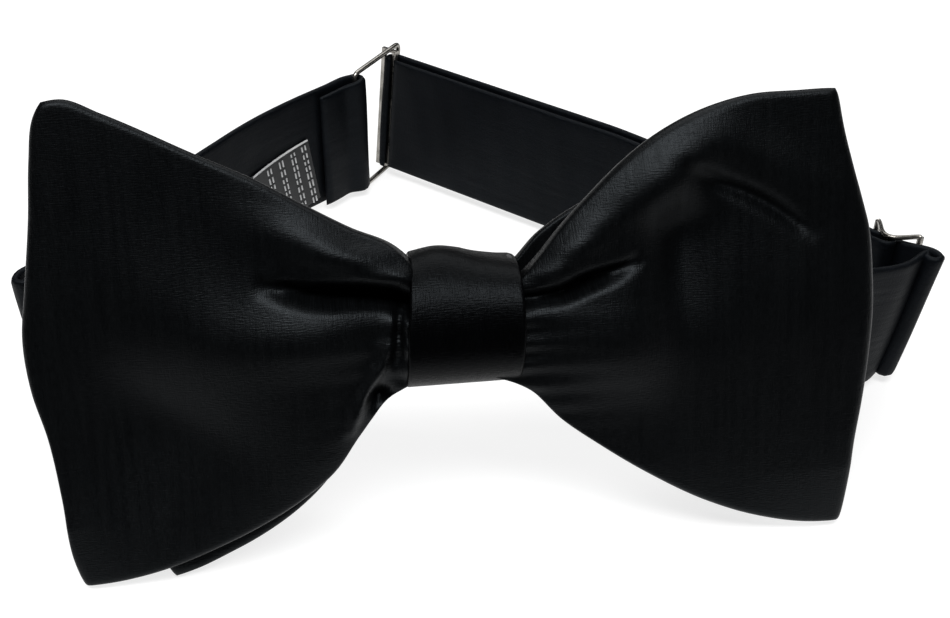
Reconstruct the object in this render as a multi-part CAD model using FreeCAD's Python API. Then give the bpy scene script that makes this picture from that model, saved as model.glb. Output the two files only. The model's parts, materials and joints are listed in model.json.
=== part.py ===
"""A pre-tied satin bow tie with a hook-and-eye neckband, resting on a table.

Units are millimetres. X runs along the bow, Y runs from the viewer to the back
and Z is up. The model is drawn about the middle of the bow's lower edge, and
each solid is moved at the end so that the origin is the bottom centre of the
whole object. The bow leans back, and the neckband stands on edge behind it.
"""

import FreeCAD, Part
import math
import os
from FreeCAD import Rotation, Vector

os.makedirs("parts", exist_ok=True)

# The bow
LEAN_DEG = 20.0  # how far the bow leans back from upright
KNOT_UP = 36.5  # height of the knot's centre, measured along the leaning bow
WING_REACH = 54.5  # from the bow's middle to a corner of a front wing
WING_SWELL = 6.0  # how far a wing's outer edge bows out between its corners
WING_TOP = 31.5  # from the knot's centre line up to a top corner
WING_BOTTOM = 36.5  # from the knot's centre line down to a bottom corner
WAIST_HALF = 6.4  # half the height of the gathered waist, inside the knot
FRONT_BOW_THICK = 2.4
BACK_REACH = 45.0
BACK_SWELL = 3.5
BACK_TOP = 26.0
BACK_BOTTOM = 33.6
BACK_BOW_THICK = 1.9

# The knot
KNOT_WIDE = 17.4
KNOT_TALL = 20.4
KNOT_FRONT = 9.4  # from the bow's middle plane to the knot's front
KNOT_BACK = 8.9  # and to its back
WRAP_THICK = 0.9
LINER_THICK = 0.6

# The neckband, and the heights it stands at
BAND_WIDE = 24.0
BAND_THICK = 1.1
BAND_MID_Z = 13.4
NECK_WIDE_AT_KNOT = 10.4
NECK_OUT = -6.3  # the band's place behind the bow's middle plane, at the knot
CORE_RADIUS = 1.0  # the rolled inside of each fold
FOLD_INNER = 1.25
FOLD_OUTER = 2.4
FOLD_GAP_DEG = 32.0  # room on each side of the band where it enters a fold
SWING_DEG = 80.0  # how far each strap swings open at its fold

# Plan positions of the two folds
LEFT_FOLD = Vector(-67.0, 45.0, 0)
RIGHT_FOLD = Vector(79.5, 33.5, 0)

# The left strap is one gentle arc
LEFT_START_DEG = 55.3
LEFT_END_DEG = 41.6
LEFT_RADIUS = 353.7

# The right strap leans out, runs straight where the slider travels, then turns a little
RIGHT_LEAN_DEG = 7.0
RIGHT_HEADING_DEG = 131.7
RIGHT_STRAIGHT = 66.0
RIGHT_TURN_DEG = 5.8
RIGHT_REST = 50.4
RETURN_OFFSET = 2.1  # the return run's middle, inside the main run's middle

# The care label, inside the left strap beside its turned-back end
LABEL_START = 57.8
LABEL_LONG = 15.8
LABEL_WIDE = 14.6
LABEL_MID_Z = 9.3

# Metal parts
WIRE_RADIUS = 0.5
LOOP_INNER = 0.85  # cloth loop round a metal bar
LOOP_OUTER = 1.95
EYE_ABOVE = 13.9  # the eye's top wire, above the middle of the band
EYE_BELOW = 12.7
EYE_FAR_BELOW = 13.4
EYE_AHEAD = 1.4  # the eye's far bar, beyond the hook's strap bar
EYE_BEHIND = 2.75  # and outside it
HOOK_HALF = 12.7
HOOK_REACH = 3.1  # from the hook's strap bar to its front
HOOK_DEPTH = 3.95  # from its frame back to the middle of its tongue
TONGUE_WIDE = 5.0
TONGUE_BACK = 3.4
BEND_INNER = 0.4
SHEET_METAL = 0.8
SLIDER_HALF = 13.1
SLIDER_START = 3.2
SLIDER_LONG = 9.2

LEAN = math.radians(LEAN_DEG)
ACROSS = Vector(1, 0, 0)
UP = Vector(0, math.sin(LEAN), math.cos(LEAN))
OUT = Vector(0, -math.cos(LEAN), math.sin(LEAN))
Z = Vector(0, 0, 1)


def bow_point(x, up, out):
    """A point given across, up and out of the leaning bow."""
    return ACROSS * x + UP * up + OUT * out


def placed(shape, origin, x_dir, z_dir):
    """The shape with its own X and Z turned to two directions and its origin moved."""
    turn = Rotation(x_dir, z_dir.cross(x_dir), z_dir, "ZXY")
    shape.Placement = FreeCAD.Placement(origin, turn).multiply(shape.Placement)
    return shape


def box(x0, x1, y0, y1, z0, z1):
    """A box between two corners."""
    return Part.makeBox(x1 - x0, y1 - y0, z1 - z0, Vector(x0, y0, z0))


def rod(start, end, radius):
    """A round bar between two points."""
    return Part.makeCylinder(radius, (end - start).Length, start, end - start)


def sector(inner, outer, half_tall, from_deg, to_deg, centre=Vector(0, 0, 0)):
    """Part of an upright tube wall, between two angles."""
    base = centre - Z * half_tall
    wedge = Part.makeCylinder(outer, 2 * half_tall, base, Z, to_deg - from_deg)
    wedge.rotate(centre, Z, from_deg)
    hole = Part.makeCylinder(inner, 2 * half_tall + 2, base - Z, Z)
    return wedge.cut(hole)


def ribbon(points, thick, half_tall):
    """An upright strip along a plan path of a few straight legs."""
    left = []
    right = []
    for n, point in enumerate(points):
        before = points[max(n - 1, 0)]
        after = points[min(n + 1, len(points) - 1)]
        ahead = (after - before).normalize()
        side = Vector(-ahead.y, ahead.x, 0) * (thick / 2)
        left.append(point + side)
        right.append(point - side)
    outline = [p - Z * half_tall for p in left + right[::-1]]
    face = Part.Face(Part.makePolygon(outline + outline[:1]))
    return face.extrude(Z * (2 * half_tall))


def sheet(position, thickness, u_span=(-1.0, 1.0), v_span=(-1.0, 1.0), nu=33, nv=13):
    """A curved sheet of cloth: position gives its middle surface, thickness its depth."""

    def middle(u, v):
        step = 1e-4
        along = position(u + step, v) - position(u - step, v)
        upward = position(u, v + step) - position(u, v - step)
        normal = along.cross(upward).normalize()
        return position(u, v), normal * (thickness(u, v) / 2)

    faces = []
    front_rows = []
    back_rows = []
    for i in range(nu):
        u = u_span[0] + (u_span[1] - u_span[0]) * i / (nu - 1)
        front_rows.append([])
        back_rows.append([])
        for j in range(nv):
            v = v_span[0] + (v_span[1] - v_span[0]) * j / (nv - 1)
            point, offset = middle(u, v)
            front_rows[-1].append(point + offset)
            back_rows[-1].append(point - offset)
    borders = []
    for rows in (front_rows, back_rows):
        surface = Part.BSplineSurface()
        surface.interpolate(rows)
        faces.append(surface.toShape())
        u0, u1, v0, v1 = surface.bounds()
        curves = (surface.uIso(u0), surface.uIso(u1), surface.vIso(v0), surface.vIso(v1))
        borders.append([curve.toShape() for curve in curves])
    for one, other in zip(*borders):
        faces.append(Part.makeRuledSurface(one, other))
    shell = Part.makeShell(faces)
    shell.sewShape()
    solid = Part.Solid(shell)
    if solid.Volume < 0:
        solid.reverse()
    return solid


def swell(a, start, reach):
    """How far a wing has opened at distance a from the bow's middle, from 0 to 1."""
    t = (a - start) / (reach - start)
    if t <= 0:
        return 0.0
    t = min(t, 1.0)
    return math.sin(math.pi / 2 * t) * (1 - math.exp(-t / 0.08))


def front_bow_middle(u, v):
    """Middle surface of the front bow, gathered at the knot and flat at its corners."""
    x = u * (WING_REACH + WING_SWELL * (1 - v * v))
    a = abs(u) * WING_REACH
    s = swell(a, 6.0, WING_REACH)
    top = WAIST_HALF + (WING_TOP - WAIST_HALF) * s
    bottom = WAIST_HALF + (WING_BOTTOM - WAIST_HALF) * s
    up = KNOT_UP + v * (top + bottom) / 2 + v * v * (top - bottom) / 2
    near = math.exp(-((a - 20) / 14) ** 2)
    groove = math.exp(-((v / 0.3) ** 2)) * math.exp(-(((a - 16) / 11) ** 2))
    waist = math.exp(-((a / 8) ** 2))
    out = 1.6 + 1.4 * waist + 3.2 * near * (1 - 0.4 * v * v) - 2.0 * groove
    return bow_point(x, up, out)


def front_bow_depth(u, v):
    """The gathered cloth is thicker in the knot and thinner at the wing's edges."""
    edge = max(abs(u), abs(v)) ** 8
    waist = math.exp(-((u * WING_REACH / 8) ** 2))
    return FRONT_BOW_THICK * (1 - 0.45 * edge) + 2.2 * waist


def back_bow_middle(u, v):
    """Middle surface of the back bow, flatter and smaller than the front one."""
    x = u * (BACK_REACH + BACK_SWELL * (1 - v * v))
    a = abs(u) * BACK_REACH
    s = swell(a, 6.0, BACK_REACH)
    top = WAIST_HALF + (BACK_TOP - WAIST_HALF) * s
    bottom = WAIST_HALF + (BACK_BOTTOM - WAIST_HALF) * s
    up = KNOT_UP + v * (top + bottom) / 2 + v * v * (top - bottom) / 2
    waist = math.exp(-((a / 8) ** 2))
    return bow_point(x, up, -3.5 + 0.8 * waist)


def back_bow_depth(u, v):
    edge = max(abs(u), abs(v)) ** 8
    waist = math.exp(-((u * BACK_REACH / 8) ** 2))
    return BACK_BOW_THICK * (1 - 0.4 * edge) + 0.9 * waist


def neck_middle(u, v):
    """The band from the left fold, behind the knot, to the right fold."""
    fold = RIGHT_FOLD if u > 0 else LEFT_FOLD
    t = abs(u)
    at_knot = bow_point(0, KNOT_UP, NECK_OUT)
    x = fold.x * t
    y = at_knot.y + (fold.y - at_knot.y) * (0.55 * t**2 + 0.45 * t**3)
    drop = t * t * (3 - 2 * t)
    z = at_knot.z + (BAND_MID_Z - at_knot.z) * drop
    spread = min(t / 0.55, 1.0)
    spread = spread * spread * (3 - 2 * spread)
    half = (NECK_WIDE_AT_KNOT + (BAND_WIDE - NECK_WIDE_AT_KNOT) * spread) / 2
    lean = LEAN * (1 - drop)
    upright = Vector(0, math.sin(lean), math.cos(lean))
    return Vector(x, y, z) + upright * (v * half)


def hollowed(position, thickness, wall, u_in, v_in, gap, name):
    """A closed cloth casing and the interlining that lies inside it."""
    outer = sheet(position, thickness)
    spans = ((-u_in, u_in), (-v_in, v_in))
    cavity = sheet(position, lambda u, v: thickness(u, v) - 2 * wall, *spans)
    casing = outer.cut(cavity)
    inner = ((-u_in + 0.006, u_in - 0.006), (-v_in + 0.012, v_in - 0.012))
    lining = sheet(position, lambda u, v: thickness(u, v) - 2 * (wall + gap), *inner)
    return {name: casing, name + "_interlining": lining}


def neck_deg(end):
    """The plan direction in which the front part of the band leaves a fold."""
    away = neck_middle(end * 0.97, 0) - neck_middle(end, 0)
    return math.degrees(math.atan2(away.y, away.x))


nodes = {}
nodes.update(hollowed(front_bow_middle, front_bow_depth, 0.4, 0.965, 0.95, 0.12, "front_bow"))
nodes.update(hollowed(back_bow_middle, back_bow_depth, 0.35, 0.965, 0.95, 0.1, "back_bow"))
nodes.update(hollowed(neck_middle, lambda u, v: BAND_THICK, 0.3, 0.955, 0.93, 0.07, "neckband_front"))

# The rolled inside of each fold belongs to the front part of the band
for fold in (LEFT_FOLD, RIGHT_FOLD):
    centre = fold + Z * BAND_MID_Z
    half = BAND_WIDE / 2
    core = Part.makeCylinder(CORE_RADIUS, 2 * half, centre - Z * half, Z)
    nodes["neckband_front"] = nodes["neckband_front"].fuse(core)


# The knot: a wrap, the lining inside it and the thread that gathers the bows
def knot_ring(inset, thick, radius):
    """A rounded ring round the waists, in the knot's own directions: across, back, up."""
    rings = []
    for d in (inset, inset + thick):
        half_up = KNOT_TALL / 2 - d
        half_x = KNOT_WIDE / 2 - inset if d == inset else KNOT_WIDE
        solid = box(-half_x, half_x, -KNOT_FRONT + d, KNOT_BACK - d, -half_up, half_up)
        along = [e for e in solid.Edges if abs(e.tangentAt(0).x) > 0.9]
        rings.append(solid.makeFillet(max(radius - d, 0.6), along))
    return rings[0].cut(rings[1])


wrap = knot_ring(0.0, WRAP_THICK, 4.6)
liner = knot_ring(WRAP_THICK + 0.12, LINER_THICK, 4.6)
half_up = WAIST_HALF + 0.85
thread = box(-1.7, 1.7, -6.9, 4.75, -half_up, half_up)
along = [e for e in thread.Edges if abs(e.tangentAt(0).x) > 0.9]
thread = thread.makeFillet(1.6, along)
hole = box(-3, 3, -6.4, 4.25, -half_up + 0.5, half_up - 0.5)
along = [e for e in hole.Edges if abs(e.tangentAt(0).x) > 0.9]
thread = thread.cut(hole.makeFillet(1.1, along))
knot_centre = bow_point(0, KNOT_UP, 0)
nodes["knot_wrap"] = placed(wrap, knot_centre, ACROSS, UP)
nodes["knot_lining"] = placed(liner, knot_centre, ACROSS, UP)
nodes["gathering_thread"] = placed(thread, knot_centre, ACROSS, UP)

# Hand stitches close the wrap at the back of the knot
stitches = []
for n in range(5):
    up = -5.2 + n * 2.6
    start = Vector(-1.5, KNOT_BACK + 0.27, up - 0.5)
    stitches.append(rod(start, start + Vector(3.0, 0, 1.0), 0.22))
joining = rod(Vector(0, KNOT_BACK + 0.27, -6.2), Vector(0, KNOT_BACK + 0.27, 6.2), 0.16)
seam = joining.multiFuse(stitches)
nodes["knot_back_stitches"] = placed(seam, knot_centre, ACROSS, UP)


# The left strap, an arc in plan, ends in a loop round the eye's bar
def heading(deg):
    """A plan direction."""
    return Vector(math.cos(math.radians(deg)), math.sin(math.radians(deg)), 0)


left_start = LEFT_FOLD + Z * BAND_MID_Z
left_centre = left_start + heading(LEFT_START_DEG - 90) * LEFT_RADIUS
bend = LEFT_START_DEG - LEFT_END_DEG


def left_arc(inner, outer, half_tall, s0, s1):
    """A strip that follows the left strap from s0 to s1, in millimetres along it."""
    first = LEFT_START_DEG + 90 - math.degrees(s0 / LEFT_RADIUS)
    last = LEFT_START_DEG + 90 - math.degrees(s1 / LEFT_RADIUS)
    radii = (LEFT_RADIUS + inner, LEFT_RADIUS + outer)
    return sector(*radii, half_tall, last, first, left_centre)


half_thick = BAND_THICK / 2
half_wide = BAND_WIDE / 2
left_length = LEFT_RADIUS * math.radians(bend)
end_dir = heading(LEFT_END_DEG)
end_side = heading(LEFT_END_DEG + 90)
loop_mid = (LOOP_INNER + LOOP_OUTER) / 2
eye_bar = left_centre + end_side * (LEFT_RADIUS - loop_mid)

strap = left_arc(-half_thick, half_thick, half_wide, 1.5, left_length - 1.0)
gap_start = neck_deg(-1) - SWING_DEG - FOLD_GAP_DEG
gap_end = neck_deg(-1) + FOLD_GAP_DEG
fold = sector(FOLD_INNER, FOLD_OUTER, half_wide, gap_end, gap_start + 360, left_start)
loop = sector(LOOP_INNER, LOOP_OUTER, half_wide, LEFT_END_DEG - 92, LEFT_END_DEG + 92, eye_bar)
bridge = [eye_bar + end_side * loop_mid - end_dir * 3, eye_bar + end_side * loop_mid]
bridge = ribbon(bridge, BAND_THICK, half_wide)
turn_back = [eye_bar - end_side * loop_mid, eye_bar - end_side * 0.1 - end_dir * 10.0]
tail = ribbon(turn_back, 1.0, half_wide)
tack_at = eye_bar - end_dir * 8.6 + end_side * 0.55
tack = placed(box(-0.5, 0.5, -1.75, 1.75, -9.5, 9.5), tack_at, end_dir, Z)
tack_hole = placed(box(-0.53, 0.53, -1.9, 1.9, -9.53, 9.53), tack_at, end_dir, Z)
strap = strap.multiFuse([fold, bridge, loop, tail])
strap = strap.cut(left_arc(-0.25, 0.25, half_wide - 0.8, 5.0, left_length - 13.0))
nodes["left_strap"] = strap.cut(tack_hole)
nodes["left_strap_interlining"] = left_arc(-0.18, 0.18, half_wide - 0.9, 5.2, left_length - 13.2)
nodes["left_strap_bartack"] = tack

# The care label lies on the inner face and is sewn along its two ends
label_in = -half_thick - 0.36
label_end = LABEL_START + LABEL_LONG
label = left_arc(label_in, label_in + 0.3, LABEL_WIDE / 2, LABEL_START, label_end)
label.translate(Z * (LABEL_MID_Z - BAND_MID_Z))
nodes["care_label"] = label
rows = []
for s in (LABEL_START + 1.0, label_end - 1.45):
    for n in range(5):
        row = left_arc(label_in - 0.3, label_in - 0.04, 0.75, s, s + 0.45)
        row.translate(Z * (LABEL_MID_Z - BAND_MID_Z - 5.0 + 2.5 * n))
        rows.append(row)
nodes["care_label_stitches"] = Part.makeCompound(rows)

# The right strap in its own directions: x along it, y towards the bow, z up the strip
right_dir = heading(RIGHT_HEADING_DEG)
right_lean = math.radians(RIGHT_LEAN_DEG)
right_up = heading(RIGHT_HEADING_DEG - 90) * math.sin(right_lean) + Z * math.cos(right_lean)
right_start = RIGHT_FOLD + Z * BAND_MID_Z


def right_placed(shape):
    return placed(shape, right_start, right_dir, right_up)


knee = Vector(RIGHT_STRAIGHT, 0, 0)
far_dir = heading(RIGHT_TURN_DEG)
far_side = heading(RIGHT_TURN_DEG + 90)
main_end = knee + far_dir * RIGHT_REST
hook_bar = main_end + far_side * loop_mid


def far_placed(shape):
    """Placed in the far leg's directions, about the hook's strap bar."""
    return right_placed(placed(shape, hook_bar, far_dir, Z))


def far_sector(inner, outer, half_tall, from_deg, to_deg, centre=Vector(0, 0, 0)):
    return far_placed(sector(inner, outer, half_tall, from_deg, to_deg, centre))


main = right_placed(ribbon([Vector(1.9, 0, 0), knee, main_end], BAND_THICK, half_wide))
gap_start = neck_deg(1) - FOLD_GAP_DEG
gap_end = neck_deg(1) + SWING_DEG + FOLD_GAP_DEG
fold = sector(FOLD_INNER, FOLD_OUTER, half_wide, gap_end, gap_start + 360, right_start)
loop = far_sector(LOOP_INNER, LOOP_OUTER, half_wide, -92, 92)
strap = main.multiFuse([fold, loop])
inside = [Vector(4.0, 0, 0), knee, main_end - far_dir * 3]
strap = strap.cut(right_placed(ribbon(inside, 0.5, half_wide - 0.8)))
nodes["right_strap"] = strap
inside = [Vector(4.2, 0, 0), knee, main_end - far_dir * 3.2]
nodes["right_strap_interlining"] = right_placed(ribbon(inside, 0.36, half_wide - 0.9))

# The eye, a wire ring whose far bar leans with the right strap's end
far_bar = Vector(EYE_AHEAD, -EYE_BEHIND, 0)
far_low = far_placed(Part.Vertex(far_bar - Z * EYE_FAR_BELOW)).Point
far_high = far_placed(Part.Vertex(far_bar + Z * EYE_ABOVE)).Point
corners = [eye_bar - Z * EYE_BELOW, eye_bar + Z * EYE_ABOVE, far_high, far_low]
wires = []
for n, corner in enumerate(corners):
    wires.append(rod(corners[n - 1], corner, WIRE_RADIUS))
    wires.append(Part.makeSphere(WIRE_RADIUS + 0.04, corner))
nodes["eye"] = wires[0].multiFuse(wires[1:])

# The return run comes back from the hook, inside the main run, to the slider
slider_end = SLIDER_START + SLIDER_LONG
inner_knee = knee + Vector(-0.1, RETURN_OFFSET, 0)
loop_end = hook_bar + far_side * loop_mid - far_dir * 0.3
run = ribbon([Vector(slider_end + 0.7, RETURN_OFFSET, 0), inner_knee, loop_end], 1.0, half_wide)
nodes["return_run"] = right_placed(run)

# The slider: two end bars outside the main run, and a middle bar inside it
bar_y = -half_thick - 1.0
middle_y = RETURN_OFFSET + 0.45
middle_x = SLIDER_START + SLIDER_LONG / 2
pieces = []
for x in (SLIDER_START + 0.7, slider_end - 0.7):
    pieces.append(rod(Vector(x, bar_y, -SLIDER_HALF + 0.5), Vector(x, bar_y, SLIDER_HALF - 0.5), 0.7))
ends = (Vector(middle_x, middle_y, -SLIDER_HALF + 0.5), Vector(middle_x, middle_y, SLIDER_HALF - 0.5))
pieces.append(rod(*ends, 0.6))
for side in (-1, 1):
    z0, z1 = sorted((side * SLIDER_HALF, side * (SLIDER_HALF - 0.95)))
    cheek = box(SLIDER_START, slider_end, bar_y - 0.7, middle_y + 0.7, z0, z1)
    upright = [e for e in cheek.Edges if abs(e.tangentAt(0).z) > 0.9]
    pieces.append(cheek.makeFillet(1.3, upright))
slider = pieces[0].multiFuse(pieces[1:])
nodes["slider"] = right_placed(slider)

# The end of the strap is wrapped round the slider's middle bar and sewn
wrap = sector(0.7, 1.6, half_wide - 0.2, 20, 340, Vector(middle_x, middle_y, 0))
legs = []
for side in (-1, 1):
    y = middle_y + side * 1.05
    legs.append(box(middle_x + 0.9, slider_end + 0.5, y - 0.4, y + 0.4, -half_wide + 0.2, half_wide - 0.2))
stitch_hole = box(middle_x + 2.0, middle_x + 2.8, middle_y - 2, middle_y + 2, -8.5, 8.5)
nodes["strap_end_wrap"] = right_placed(wrap.multiFuse(legs).cut(stitch_hole))
stitch = box(middle_x + 2.05, middle_x + 2.75, middle_y - 1.52, middle_y + 1.52, -8.4, 8.4)
nodes["strap_end_stitches"] = right_placed(stitch)

# The hook: a stamped frame whose tongue folds back outside the eye's far bar
half_metal = SHEET_METAL / 2
frame = [rod(Vector(0, 0, -HOOK_HALF + 0.3), Vector(0, 0, HOOK_HALF - 0.3), 0.6)]
front = HOOK_REACH - SHEET_METAL
frame.append(box(front, HOOK_REACH, -half_metal, half_metal, -HOOK_HALF, HOOK_HALF))
for side in (-1, 1):
    z0, z1 = sorted((side * HOOK_HALF, side * (HOOK_HALF - 0.6)))
    frame.append(box(-0.6, HOOK_REACH, -half_metal, half_metal, z0, z1))
half_tongue = TONGUE_WIDE / 2
bend = Vector(front - BEND_INNER, half_metal + BEND_INNER - HOOK_DEPTH, 0)
frame.append(box(front, HOOK_REACH, bend.y, half_metal, -half_tongue, half_tongue))
frame.append(sector(BEND_INNER, BEND_INNER + SHEET_METAL, half_tongue, -90, 0, bend))
outer_y = -HOOK_DEPTH - half_metal
frame.append(box(-TONGUE_BACK, bend.x, outer_y, outer_y + SHEET_METAL, -half_tongue, half_tongue))
hook = frame[0].multiFuse(frame[1:])
nodes["hook"] = far_placed(hook)

# Move everything so that the origin is the bottom centre of the whole object
whole = Part.makeCompound(list(nodes.values())).BoundBox
shift = Vector(-whole.Center.x, -whole.Center.y, -whole.ZMin)
print("shift", shift, "size", whole.XLength, whole.YLength, whole.ZLength)
for name, shape in nodes.items():
    moved = shape.copy()
    moved.translate(shift)
    moved.exportStep("parts/" + name + ".step")
    print(name, moved.isValid(), len(moved.Solids), round(moved.Volume, 1))
for name, point in (
    ("left_fold", left_start),
    ("right_fold", right_start),
    ("eye_bar", eye_bar),
    ("hook_bar", right_placed(Part.Vertex(hook_bar)).Point),
    ("right_up", right_up),
    ("right_dir", right_dir),
):
    shown = point if name in ("right_up", "right_dir") else point + shift
    print(name, [round(c, 5) for c in shown])
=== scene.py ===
"""Looks of a ready-tied satin bow tie.

Lengths are in millimetres and directions are the bow tie's own: X along the bow, Y from
the viewer to the back, Z up, with the origin at the middle of the bow's lower edge. The
frame's joints say where that is in the row frame, and every mesh is moved there in metres.
"""

import json
import math

import bpy
import numpy as np
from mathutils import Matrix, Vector


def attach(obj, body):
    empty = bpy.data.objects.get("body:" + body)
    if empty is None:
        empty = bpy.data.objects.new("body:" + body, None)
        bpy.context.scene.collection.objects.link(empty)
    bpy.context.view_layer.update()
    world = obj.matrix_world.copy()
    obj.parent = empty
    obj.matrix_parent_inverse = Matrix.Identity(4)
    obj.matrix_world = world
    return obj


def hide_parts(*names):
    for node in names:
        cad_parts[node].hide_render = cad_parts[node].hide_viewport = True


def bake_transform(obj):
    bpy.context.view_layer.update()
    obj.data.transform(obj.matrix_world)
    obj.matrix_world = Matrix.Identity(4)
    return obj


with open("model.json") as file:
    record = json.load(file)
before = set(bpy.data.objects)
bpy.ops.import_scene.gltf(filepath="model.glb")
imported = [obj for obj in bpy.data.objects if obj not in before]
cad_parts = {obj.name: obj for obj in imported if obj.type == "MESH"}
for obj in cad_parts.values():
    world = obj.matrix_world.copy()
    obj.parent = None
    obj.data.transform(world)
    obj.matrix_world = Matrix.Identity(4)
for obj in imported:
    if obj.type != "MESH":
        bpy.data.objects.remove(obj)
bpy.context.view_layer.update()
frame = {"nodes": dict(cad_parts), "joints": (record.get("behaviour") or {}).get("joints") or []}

MM = 0.001


def joint_value(name, key):
    """A joint's position or axis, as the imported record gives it."""
    found = next(j for j in frame["joints"] if j["name"] == name)
    return np.array(found[key], float)


# Where things are: the left fold's place in the bow tie's own directions fixes the rest
LEFT_FOLD = np.array([-67.0, 45.0, 13.4])
TO_ROW = joint_value("left_strap_swing", "pos_m") / MM - LEFT_FOLD
RIGHT_FOLD = joint_value("right_strap_swing", "pos_m") / MM - TO_ROW
EYE_BAR = joint_value("eye_pivot", "pos_m") / MM - TO_ROW
HOOK_BAR = joint_value("hook_pivot", "pos_m") / MM - TO_ROW
RIGHT_DIR = joint_value("slider_slide", "axis")
RIGHT_UP = joint_value("hook_pivot", "axis")
RIGHT_IN = np.cross(RIGHT_UP, RIGHT_DIR)
UPRIGHT = np.array([0.0, 0.0, 1.0])
ASLANT = np.array([0.31, 0.17, 0.93])  # a direction in which no wire or thread runs

LEAN = math.radians(20)
UP = np.array([0.0, math.sin(LEAN), math.cos(LEAN)])
OUT = np.array([0.0, -math.cos(LEAN), math.sin(LEAN)])
KNOT_UP = 36.5
KNOT_HALF_WIDE = 8.7

BAND_HALF = 12.0
BAND_THICK = 1.25
BAND_MID_Z = LEFT_FOLD[2]


# Mesh helpers


def to_row(points):
    """Points in metres in the row frame."""
    return (np.asarray(points, float) + TO_ROW) * MM


def bow_point(x, up, out):
    """Points given across, up and out of the leaning bow."""
    x, up, out = np.broadcast_arrays(x, up, out)
    return np.stack([x, up * UP[1] + out * OUT[1], up * UP[2] + out * OUT[2]], -1)


def unit(vectors):
    return vectors / np.linalg.norm(vectors, axis=-1, keepdims=True)


def smooth(rows, step):
    """Rows about `step` apart on a smooth curve through rows that start with a place."""
    rows = np.asarray(rows, float)
    gaps = np.linalg.norm(np.diff(rows[:, :3], axis=0), axis=1)
    t = np.concatenate([[0], np.cumsum(gaps)])
    slope = np.diff(rows, axis=0) / gaps[:, None]
    tangent = np.empty_like(rows)
    tangent[0] = slope[0]
    tangent[-1] = slope[-1]
    before = gaps[:-1, None]
    after = gaps[1:, None]
    tangent[1:-1] = (slope[:-1] * after + slope[1:] * before) / (before + after)
    fine = np.linspace(0, t[-1], max(int(t[-1] / step * 4), 8))
    k = np.clip(np.searchsorted(t, fine, side="right") - 1, 0, len(gaps) - 1)
    h = gaps[k][:, None]
    q = (fine - t[k])[:, None] / h
    dense = (
        rows[k] * (2 * q**3 - 3 * q**2 + 1)
        + tangent[k] * h * (q**3 - 2 * q**2 + q)
        + rows[k + 1] * (3 * q**2 - 2 * q**3)
        + tangent[k + 1] * h * (q**3 - q**2)
    )
    along = travelled(dense)
    even = np.linspace(0, along[-1], max(int(round(along[-1] / step)), 2) + 1)
    return np.stack([np.interp(even, along, dense[:, c]) for c in range(dense.shape[1])], -1)


def travelled(rows):
    """The distance along a line of rows, at each row."""
    gaps = np.linalg.norm(np.diff(rows[:, :3], axis=0), axis=1)
    return np.concatenate([[0], np.cumsum(gaps)])


def outline(*points):
    """A smooth curve through points, as a function of the share of its length."""
    dense = smooth(points, 0.25)
    share = travelled(dense)
    share = share / share[-1]
    return lambda s: np.stack([np.interp(s, share, dense[:, c]) for c in range(2)], -1)


def make_object(name, points, faces, uvs, material):
    """A smooth-shaded mesh from points in millimetres, faces and a flat place for each point."""
    mesh = bpy.data.meshes.new(name)
    mesh.from_pydata(to_row(points).tolist(), [], faces)
    layer = mesh.uv_layers.new(name="cloth")
    corners = np.empty(len(mesh.loops), np.int32)
    mesh.loops.foreach_get("vertex_index", corners)
    layer.data.foreach_set("uv", (np.asarray(uvs, float)[corners] * MM).astype(np.float32).ravel())
    mesh.polygons.foreach_set("use_smooth", np.ones(len(mesh.polygons), bool))
    mesh.materials.append(material)
    mesh.validate()
    made = bpy.data.objects.new(name, mesh)
    bpy.context.scene.collection.objects.link(made)
    return made


def quads(index):
    """Quads between neighbouring entries of a table of point numbers."""
    corners = [index[:-1, :-1], index[1:, :-1], index[1:, 1:], index[:-1, 1:]]
    return np.stack(corners, -1).reshape(-1, 4)


def stations(length, edge, step):
    """Places from -1 to 1 along a length, closer together in the rounded edge at each end."""
    turn = np.linspace(0, math.pi / 2, 5)[:-1]
    near = edge * (1 - np.cos(turn))
    middle = np.linspace(edge, length - edge, max(int((length - 2 * edge) / step), 2))
    places = np.concatenate([near, middle, length - near[::-1]])
    return 2 * places / length - 1


def rounded(place, share):
    """0 at the two ends, -1 and 1, and 1 from a share of the length inwards, along a quarter circle."""
    inward = np.clip((1 - np.abs(place)) / share, 0, 1)
    return np.sqrt(np.clip(1 - (1 - inward) ** 2, 0, 1))


def sheet_mesh(name, middle, front, back, flat, material, ring=False):
    """A closed cloth from a grid of middle points, and how far its two faces stand from them."""
    du = np.gradient(middle, axis=0)
    if ring:
        around = np.concatenate([middle[-2:-1], middle, middle[1:2]])
        du = np.gradient(around, axis=0)[1:-1]
    normal = unit(np.cross(du, np.gradient(middle, axis=1)))
    near = middle + normal * front[..., None]
    far = middle - normal * back[..., None]
    nu, nv = front.shape
    near_index = np.arange(nu * nv).reshape(nu, nv)
    far_index = near_index + nu * nv
    far_index[:, 0] = near_index[:, 0]
    far_index[:, -1] = near_index[:, -1]
    if ring:
        near_index[-1] = near_index[0]
        far_index[-1] = far_index[0]
    else:
        far_index[0] = near_index[0]
        far_index[-1] = near_index[-1]
    faces = np.concatenate([quads(near_index), quads(far_index)[:, ::-1]])
    used, renumbered = np.unique(faces, return_inverse=True)
    points = np.concatenate([near.reshape(-1, 3), far.reshape(-1, 3)])[used]
    uvs = np.concatenate([flat.reshape(-1, 2)] * 2)[used]
    return make_object(name, points, renumbered.reshape(-1, 4).tolist(), uvs, material)


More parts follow.
